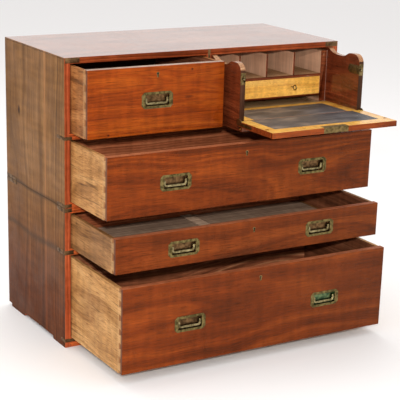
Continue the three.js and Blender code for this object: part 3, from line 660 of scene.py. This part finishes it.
for drawer_name, looks in front_looks.items():
    front_finish = wood(
        drawer_name + "_mahogany", "x", looks["pith"], looks["tones"], ring=0.009, bend=0.022,
        seed=looks["seed"], layers=[zone("x", cool_start, cool_end, cool_tone), *looks.get("marks", [])],
    )
    face_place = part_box(f"{drawer_name}_front")[0].y
    end_finish = wood(
        drawer_name + "_end_grain", "z", (0.1, 0.1), end_tones, ring=0.003, pore=0.6, seed=7.7,
        rough=(0.5, 0.66), coat=0.0, gloss=0.1, layers=[lap_shade(face_place)],
    )
    # The rim finish carries that painted reflection on the top face.
    rim_finish = wood(drawer_name + "_rim", "x", (0.1, 0.3), looks["rim"], ring=0.004, seed=7.1,
                      rough=(0.4, 0.6))
    dress(f"{drawer_name}_front", [front_finish, end_finish, rim_finish], face_end_or_rim)

# Each front's keyhole has a brass liner let into it, with a dark plate behind it that paints the shade inside
# the lock.
keyhole_brass = brass("keyhole_brass", paint(96, 84, 50), paint(172, 150, 98), (0.3, 0.5))
keyhole_dark, keyhole_tree = blank("keyhole_dark")
shade_mottle = noise(keyhole_tree, place_of(keyhole_tree), (400, 400, 400), 2.0)
surface(keyhole_dark, ramp(keyhole_tree, shade_mottle, (0.3, paint(12, 8, 6)), (0.7, paint(34, 22, 16))), shade_mottle,
        step(keyhole_tree, shade_mottle, 0.3, 0.7, 0.7, 0.9), 0.0001)
liner_outside = {"radius": 0.00465, "half": 0.00285, "drop": 0.01135}
liner_inside = {"radius": 0.0032, "half": 0.0015, "drop": 0.0099}
liner_proud, liner_thick = 0.0002, 0.0026
dark_depth, dark_thick = 0.0025, 0.0003


def keyhole_outline(radius, half, drop):
    """A round eye above a straight slot."""
    first = -math.acos(half / radius)
    turns = [first + (math.pi - 2 * first) * count / 16 for count in range(17)]
    eye = [(radius * math.cos(turn), radius * math.sin(turn)) for turn in turns]
    return [(-half, -drop), (half, -drop), *eye]


def keyhole(owner, middle, across, along):
    """The liner of a keyhole, and a dark plate behind it that paints the shade of the lock."""
    facing = across.cross(along)
    rim = keyhole_outline(**liner_outside)
    thin_plate(owner + "_keyhole_liner", [rim, keyhole_outline(**liner_inside)], middle + facing * liner_proud,
               across, along, liner_thick, owner, keyhole_brass)
    thin_plate(owner + "_keyhole_dark", [rim], middle - facing * dark_depth, across, along, dark_thick, owner,
               keyhole_dark)


keyhole_heights = {"short": 0.875, "middle": 0.640, "shallow": 0.411, "deep": 0.269}
for drawer_name, keyhole_height in keyhole_heights.items():
    front_low, front_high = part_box(f"{drawer_name}_drawer_front")
    middle = Vector(((front_low.x + front_high.x) / 2, front_low.y, keyhole_height))
    keyhole(f"{drawer_name}_drawer_front", middle, to_right, to_top)


# Drawer sides, backs and bottoms
# Thin bare boards, dovetailed through at the back and lapped in front: tan sides that show their
# grain along the drawer, a browner back and a grey brown bottom with a muntin in the wide ones.
lining_tones = {
    "short_drawer": (paint(112, 66, 34), paint(158, 102, 56), paint(188, 130, 78)),
    "middle_drawer": (paint(136, 92, 50), paint(178, 128, 76), paint(204, 156, 100)),
    "shallow_drawer": (paint(104, 70, 38), paint(144, 100, 58), paint(174, 128, 80)),
    "deep_drawer": (paint(146, 100, 56), paint(186, 138, 84), paint(212, 166, 110)),
}
back_tones = (paint(122, 64, 40), paint(172, 96, 62), paint(206, 128, 88))
# The short drawer's back is near black: painted shade, as it lies deep in the case under the top board.
shaded_back_tones = (paint(34, 22, 16), paint(50, 32, 22), paint(70, 46, 32))
inside_side_tones = (paint(84, 48, 32), paint(122, 72, 48), paint(154, 98, 70))
bottom_tones = (paint(126, 100, 84), paint(172, 144, 122), paint(204, 174, 150))
figured_tones = (paint(92, 48, 32), paint(156, 92, 62), paint(204, 140, 100))
back_finish = wood("drawer_back", "x", (0.1, 0.3), back_tones, ring=0.007, seed=12.0, rough=(0.45, 0.62),
                   coat=0.0)
figured_finish = wood("figured_back", "x", (0.1, 0.26), figured_tones, ring=0.010, bend=0.06, seed=13.0,
                      rough=(0.45, 0.62), coat=0.0)
shaded_back_finish = wood("short_drawer_back", "x", (0.1, 0.3), shaded_back_tones, ring=0.007, seed=12.6,
                    rough=(0.6, 0.75), coat=0.0)
inner_finish = wood("drawer_inside", "y", (0.3, 0.2), inside_side_tones, ring=0.007, seed=11.0,
                    rough=(0.5, 0.66), coat=0.0)
bottom_finish = wood("drawer_bottom", "x", (0.3, 0.1), bottom_tones, ring=0.008, seed=14.0,
                     rough=(0.55, 0.7), coat=0.0)
own_backs = {"deep_drawer": figured_finish, "short_drawer": shaded_back_finish}
drawer_back_depth = 0.0125
highlight_run = 0.002
highlight_fade = 0.010
lining_arris = 0.0007
tray_arris = 0.0006


def cracks(scale, seed, tone, share):
    """Thin dark lines drawn out along the grain, slanting a little."""
    def lay_on(tree, colour):
        place = spread(tree, "ADD", place_of(tree), (0, seed, 0.12 * seed))
        wander = add(tree, "TexNoise", {"Vector": place, "Scale": 6.0}).outputs["Color"]
        slanted = spread(tree, "ADD", place, spread(tree, "MULTIPLY", wander, (0, 0, 0.02)))
        amount = step(tree, noise(tree, slanted, scale, 2.0), 0.60, 0.68, 0.0, share)
        return mixed(tree, amount, colour, tone)
    return lay_on


for drawer_name, looks in front_looks.items():
    front_low, front_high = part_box(f"{drawer_name}_front")
    highlight_end = front_high.y + highlight_run
    lining_finish = wood(
        drawer_name + "_lining", "y", (looks["pith"][1], 0.2), lining_tones[drawer_name], ring=0.006, bend=0.03,
        pore=0.8, seed=looks["seed"] + 20, rough=(0.5, 0.66), coat=0.0,
        layers=[
            cracks((70, 5, 110), looks["seed"], paint(70, 44, 24), 0.55),
            # The pale band next to the front is a painted highlight.
            zone("y", highlight_end + highlight_fade, highlight_end - highlight_run, paint(214, 172, 124), 0.3, "MIX"),
            lap_shade(front_low.y),
        ],
    )
    for side, side_name in both_sides:

        def outside_or_inside(normal, middle):
            return 1 if normal.x * side < -mostly else 0

        dress(f"{drawer_name}_{side_name}_side", [lining_finish, inner_finish], outside_or_inside,
              radius=lining_arris)
    back_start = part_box(f"{drawer_name}_back_and_bottom")[1].y - drawer_back_depth

    def back_or_bottom(normal, middle):
        return 0 if middle.y > back_start else 1

    dress(f"{drawer_name}_back_and_bottom", [own_backs.get(drawer_name, back_finish), bottom_finish],
          back_or_bottom, radius=tray_arris)


# Flush handles
# Cast brass plates with clipped corners, let in level with the wood, each with a sunk pan and a
# swelling bail that hangs in it. The brass has dulled to olive, with brighter rubbed edges.
plate_finish = brass("dull_brass", paint(78, 68, 40), paint(132, 116, 72), (0.34, 0.55))
pan_finish = brass("pan_brass", paint(74, 54, 34), paint(124, 94, 62), (0.3, 0.5))
greened_finish = brass("greened_brass", paint(52, 76, 56), paint(104, 122, 84), (0.3, 0.5))
bail_finish = brass("rubbed_brass", paint(100, 88, 58), paint(162, 148, 108), (0.26, 0.42))
flange_depth = 0.002
plate_arris = 0.0005
bail_arris = 0.0004
for owner in ("short_drawer", "middle_drawer", "shallow_drawer", "deep_drawer", "fall"):
    for word in ("", "_left", "_right"):
        plate_name = f"{owner}_handle_plate{word}"
        if plate_name in frame["nodes"]:
            pan_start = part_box(plate_name)[0].y + flange_depth

            def flange_or_pan(normal, middle):
                return 1 if middle.y > pan_start else 0

            sunk = greened_finish if plate_name == "deep_drawer_handle_plate_right" else pan_finish
            dress(plate_name, [plate_finish, sunk], flange_or_pan, radius=plate_arris, arris="all")
            dress(f"{owner}_handle_bail{word}", [bail_finish], radius=bail_arris, arris="all")


# Secretaire drawer
# Its two mahogany sides stand full height in front, with a scooped top edge and a rounded nose. The
# bed between them is edged with maple about its leather, and a lip fills the front under the fall.
writing_tones = (paint(74, 30, 15), paint(104, 45, 23), paint(132, 64, 35))
# A lighter brown patch on the right side's inner face is a painted reflection.
reflection_place = (0.478, front_plane - 0.10, 0.795)
reflection_reach = (0.01, 0.075, 0.04)
writing_finish = wood(
    "writing_side", "y", (0.86, 0.3), writing_tones, ring=0.008, bend=0.02, seed=15.2, rough=(0.16, 0.3),
    coat=0.3, coat_rough=0.1, gloss=0.5, layers=[spot(reflection_place, reflection_reach, paint(150, 90, 50), 0.45, "MIX")],
)
writing_edge_tones = (paint(40, 22, 16), paint(62, 36, 26), paint(90, 56, 42))
writing_edge_finish = wood("writing_edge", "z", (0.4, 0.1), writing_edge_tones, ring=0.004, seed=16.4)
# The crest finish on the upward faces of each side's top edge is a paler tan: a painted highlight.
crest_highlight_tones = (paint(120, 78, 52), paint(168, 120, 84), paint(206, 164, 124))
crest_finish = wood("writing_crest", "y", (0.4, 0.1), crest_highlight_tones, ring=0.004, seed=16.9, rough=(0.14, 0.26),
                    coat=0.4)
shaded_finish = brass("shaded_brass", paint(84, 70, 42), paint(140, 118, 76), (0.4, 0.6))
hinge_finish = brass("hinge_brass", paint(104, 86, 54), paint(160, 136, 92), (0.34, 0.5))


def patch(low, high, tone, share=1.0):
    """A flat tone inside a rectangle, from its low to its high corner in x and y."""
    soft = 0.0004

    def lay_on(tree, colour):
        amount = share
        for axis, start, end in zip("xy", low, high):
            here = part_of(tree, axis)
            amount = reckon(tree, "MULTIPLY", amount, step(tree, here, start - soft, start + soft))
            amount = reckon(tree, "MULTIPLY", amount, step(tree, here, end + soft, end - soft))
        return mixed(tree, amount, colour, tone)
    return lay_on


def maple(name, grain, seed, layers=()):
    """Golden maple: soft mottle, with small birds' eyes."""
    material, tree = blank(name)
    tones = (paint(220, 156, 58), paint(240, 182, 76), paint(250, 202, 102))
    colour, height = timber(tree, grain, (0.3, 0.2), tones, ring=0.03, bend=0.05, pore=0.06, seed=seed)
    mottle = noise(tree, place_of(tree), (70, 70, 110), 4.0, 0.6)
    colour = mixed(tree, step(tree, mottle, 0.42, 0.66, 0.0, 0.5), colour, paint(198, 134, 54))
    cells = add(tree, "TexVoronoi", {"Vector": place_of(tree), "Scale": 95.0, "Randomness": 1.0})
    eyes = step(tree, cells.outputs["Distance"], 0.26, 0.06)
    colour = mixed(tree, reckon(tree, "MULTIPLY", eyes, 0.5), colour, paint(160, 98, 38))
    for layer in layers:
        colour = layer(tree, colour)
    rough = step(tree, noise(tree, place_of(tree), (9, 9, 9), 3.0), 0.35, 0.65, 0.24, 0.4)
    return surface(material, colour, height, rough, 0.0001, Coat_Weight=0.4, Coat_Roughness=0.1)


catch_height = 0.851
catch_clear = 0.02
catch_slot_length = 0.05
bed_height = 0.735
crest_height = 0.8
nose_height = 0.90
crest_lean, crest_rise = 0.6, 0.3
half_turned = 0.5
bare_run = 0.012
brass_arris = 0.0003
leather_arris = 0.0004


def shaped_arris(edge, shared):
    """The arrises of a writing side's faces, all but those about the catch and under the bed."""
    near_catch = any(abs(corner.co.z - catch_height) < catch_clear for corner in edge.verts)
    above_bed = all(corner.co.z > bed_height for corner in edge.verts)
    on_face = any(axis == 0 for axis, end in shared)
    long_or_clear = not near_catch or edge.calc_length() > catch_slot_length
    return on_face and edge.is_convex and above_bed and long_or_clear


def side_edge_or_crest(normal, middle):
    if abs(normal.x) < crest_lean and normal.z > crest_rise and middle.z > crest_height:
        return 2
    return 1 if normal.y < -half_turned and middle.z < nose_height else 0


bed_hide_low, bed_hide_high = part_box("bed_leather")
fall_hide_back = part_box("fall_leather")[1].y
nest_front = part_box("pigeonhole_nest")[0].y
seam_layer = patch((bed_hide_low.x, fall_hide_back), (bed_hide_high.x, bed_hide_low.y), paint(178, 168, 152))
bare_bed_layer = patch((-1.0, nest_front - bare_run), (1.0, 1.0), paint(150, 126, 94), 0.9)
maple_bed = maple("maple_bed", "x", 0.3, [seam_layer, bare_bed_layer])
for side_name in side_names:
    dress(f"writing_drawer_{side_name}_side", [writing_finish, writing_edge_finish, crest_finish],
          side_edge_or_crest, arris=shaped_arris)
    dress(f"fall_hinge_{side_name}", [hinge_finish], radius=brass_arris, arris="all")
    dress(f"fall_catch_{side_name}", [bail_finish], radius=brass_arris, arris="all")


def lip_or_bed(normal, middle):
    return 1 if normal.z > half_turned else 0


dress("writing_bed", [writing_finish, maple_bed], lip_or_bed, radius=board_arris)

# The catches pass through brass plates: one on each side's front edge and one on its inner face.
plate_proud = 0.0002
plate_half_width, plate_half_height = 0.0084, 0.0185
slot_outward, slot_inward, slot_half_height = 0.0033, 0.0063, 0.0034
plate_thick = 0.0012
plate_screw_lifts = (-0.0125, 0.0125)
plate_screw_proud = 0.00005
plate_screw_radius = 0.0026
side_plate_length, side_plate_height, side_plate_thick = 0.058, 0.028, 0.0008
side_plate_screws = ((0.010, 0.008), (0.010, -0.008), (0.046, 0.0))
side_plate_screw_radius = 0.0025
for side, side_name in both_sides:
    owner = f"writing_drawer_{side_name}_side"
    board_low, board_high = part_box(owner)
    board_middle = (board_low.x + board_high.x) / 2
    stud_low, stud_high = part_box(f"fall_catch_{side_name}")
    stud_middle = (stud_low.x + stud_high.x) / 2
    slot_ends = sorted((stud_middle - side * slot_inward, stud_middle + side * slot_outward))
    rim = oblong(-plate_half_width, plate_half_width, -plate_half_height, plate_half_height)
    hole = oblong(*(end - board_middle for end in slot_ends), -slot_half_height, slot_half_height)
    corner = Vector((board_middle, board_low.y - plate_proud, catch_height))
    thin_plate(f"catch_plate_{side_name}", [rim, hole], corner, to_right, to_top, plate_thick, owner,
               shaded_finish)
    for count, lift in enumerate(plate_screw_lifts):
        screw_place = corner + lift * to_top - plate_screw_proud * to_back
        screw(f"catch_screw_{side_name}_{count}", screw_place, to_right, to_top, plate_screw_radius, owner,
              bail_finish)
    inner_face = board_low.x if side > 0 else board_high.x
    corner = Vector((inner_face - side * plate_proud, board_low.y, catch_height))
    upward = -side * to_top
    outline = round_ended(side_plate_length, side_plate_height)
    thin_plate(f"catch_tongue_{side_name}", [outline], corner, to_back, upward, side_plate_thick, owner,
               shaded_finish)
    for count, (back_by, lift) in enumerate(side_plate_screws):
        screw_place = corner + Vector((-side * screw_proud, back_by, lift))
        screw(f"tongue_screw_{side_name}_{count}", screw_place, to_back, upward, side_plate_screw_radius,
              owner, bail_finish)


def worn_leather(name, seed):
    """Dark desk leather, rubbed paler and browner where papers and arms lay, and bluer to the right."""
    material, tree = blank(name)
    place = spread(tree, "ADD", place_of(tree), (seed, seed, 0))
    rubbed = noise(tree, place, (9, 22, 9), 4.0, 0.6)
    dark, middling, pale = paint(34, 28, 24), paint(70, 57, 45), paint(128, 106, 84)
    colour = ramp(tree, rubbed, (0.34, dark), (0.5, middling), (0.64, pale))
    blue_side = step(tree, part_of(tree, "x"), 0.2, 0.36, 0.0, 0.85)
    cool = ramp(tree, rubbed, (0.36, paint(24, 26, 32)), (0.64, paint(84, 82, 86)))
    colour = mixed(tree, blue_side, colour, cool)
    cells = add(tree, "TexVoronoi", {"Vector": place, "Scale": 700.0}, feature="DISTANCE_TO_EDGE")
    creases = step(tree, cells.outputs["Distance"], 0.0, 0.12)
    rough = step(tree, rubbed, 0.35, 0.65, 0.42, 0.6)
    return surface(material, colour, creases, rough, 0.00015, Sheen_Weight=0.05)


dress("bed_leather", [worn_leather("bed_hide", 0.0)], radius=leather_arris)


# Pigeonholes and their drawer
# A thin light mahogany nest stands behind the bed: four pigeonholes over a maple drawer with its
# key in the lock, and a low slot for papers underneath.
nest_tones = (paint(186, 142, 113), paint(194, 150, 120), paint(202, 158, 128))
nest_finish = wood("nest_wood", "z", (0.1, 0.4), nest_tones, ring=0.05, bend=0.05, pore=0.06, ripple=0.05,
                   seed=18.0, rough=(0.4, 0.55))
nest_floor_tones = (paint(112, 82, 54), paint(142, 106, 74), paint(168, 128, 92))
nest_floor_finish = wood("nest_floor", "x", (0.1, 0.7), nest_floor_tones, ring=0.006, seed=18.6,
                         rough=(0.4, 0.55))
nest_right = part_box("pigeonhole_nest")[1].x
pale_corner = streak("x", nest_right - 0.001, 0.004, paint(178, 142, 126), 0.8)
nest_edge_finish = wood("nest_edge", "x", (0.1, 0.8), writing_tones, ring=0.005, seed=19.0,
                        layers=[pale_corner])
nest_edge_depth = 0.001
nest_arris = 0.0004


def edge_wall_or_floor(normal, middle):
    if middle.y < nest_front + nest_edge_depth:
        return 0
    return 2 if normal.z > mostly else 1


dress("pigeonhole_nest", [nest_edge_finish, nest_finish, nest_floor_finish], edge_wall_or_floor,
      radius=nest_arris)
dress("maple_drawer_front", [maple("maple_drawer", "x", 2.0)])
dress("maple_drawer_box", [back_finish], radius=nest_arris)
dress("key", [bail_finish], radius=brass_arris, arris="all")


# Fall
# The writing drawer's front, let down level with the bed: mahogany outside and at its edges, with
# maple about worn leather inside, a brass lock in its free edge and a brass strap in each end.
fall_tones = (paint(84, 33, 12), paint(120, 50, 19), paint(146, 68, 28))
fall_finish = wood("fall_mahogany", "x", (-0.3, 0.71), fall_tones, ring=0.007, seed=22.0)
hinge_place = front_plane - 0.178
fall_keyhole_reach = 0.158
leaf_start, leaf_length, leaf_height, leaf_thick = 0.0102, 0.058, 0.0115, 0.0008
leaf_proud = 0.0002
lock_arris = 0.0004
leaf_screw_places = (0.012, 0.048)
leaf_screw_radius = 0.0028


def outside_or_maple(normal, middle):
    return 1 if normal.z > half_turned else 0


dress("writing_fall", [fall_finish, maple("maple_fall", "x", 4.0, [seam_layer])], outside_or_maple)
dress("fall_leather", [worn_leather("fall_hide", 1.3)], radius=leather_arris)
dress("fall_lock", [shaded_finish], radius=lock_arris)
fall_low, fall_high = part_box("writing_fall")
keyhole("writing_fall", Vector(((fall_low.x + fall_high.x) / 2, hinge_place - fall_keyhole_reach, fall_low.z)),
        to_right, -to_back)
for side, side_name in both_sides:
    end = fall_low.x if side < 0 else fall_high.x
    corner = Vector((end + side * leaf_proud, hinge_place - leaf_start, (fall_low.z + fall_high.z) / 2))
    upward = -side * to_top
    thin_plate(f"fall_leaf_{side_name}", [round_ended(leaf_length, leaf_height)], corner, -to_back, upward,
               leaf_thick, "writing_fall", plate_finish)
    for count, ahead_by in enumerate(leaf_screw_places):
        screw_place = corner + Vector((side * screw_proud, -ahead_by, 0))
        screw(f"fall_leaf_screw_{side_name}_{count}", screw_place, -to_back, upward, leaf_screw_radius,
              "writing_fall", bail_finish)
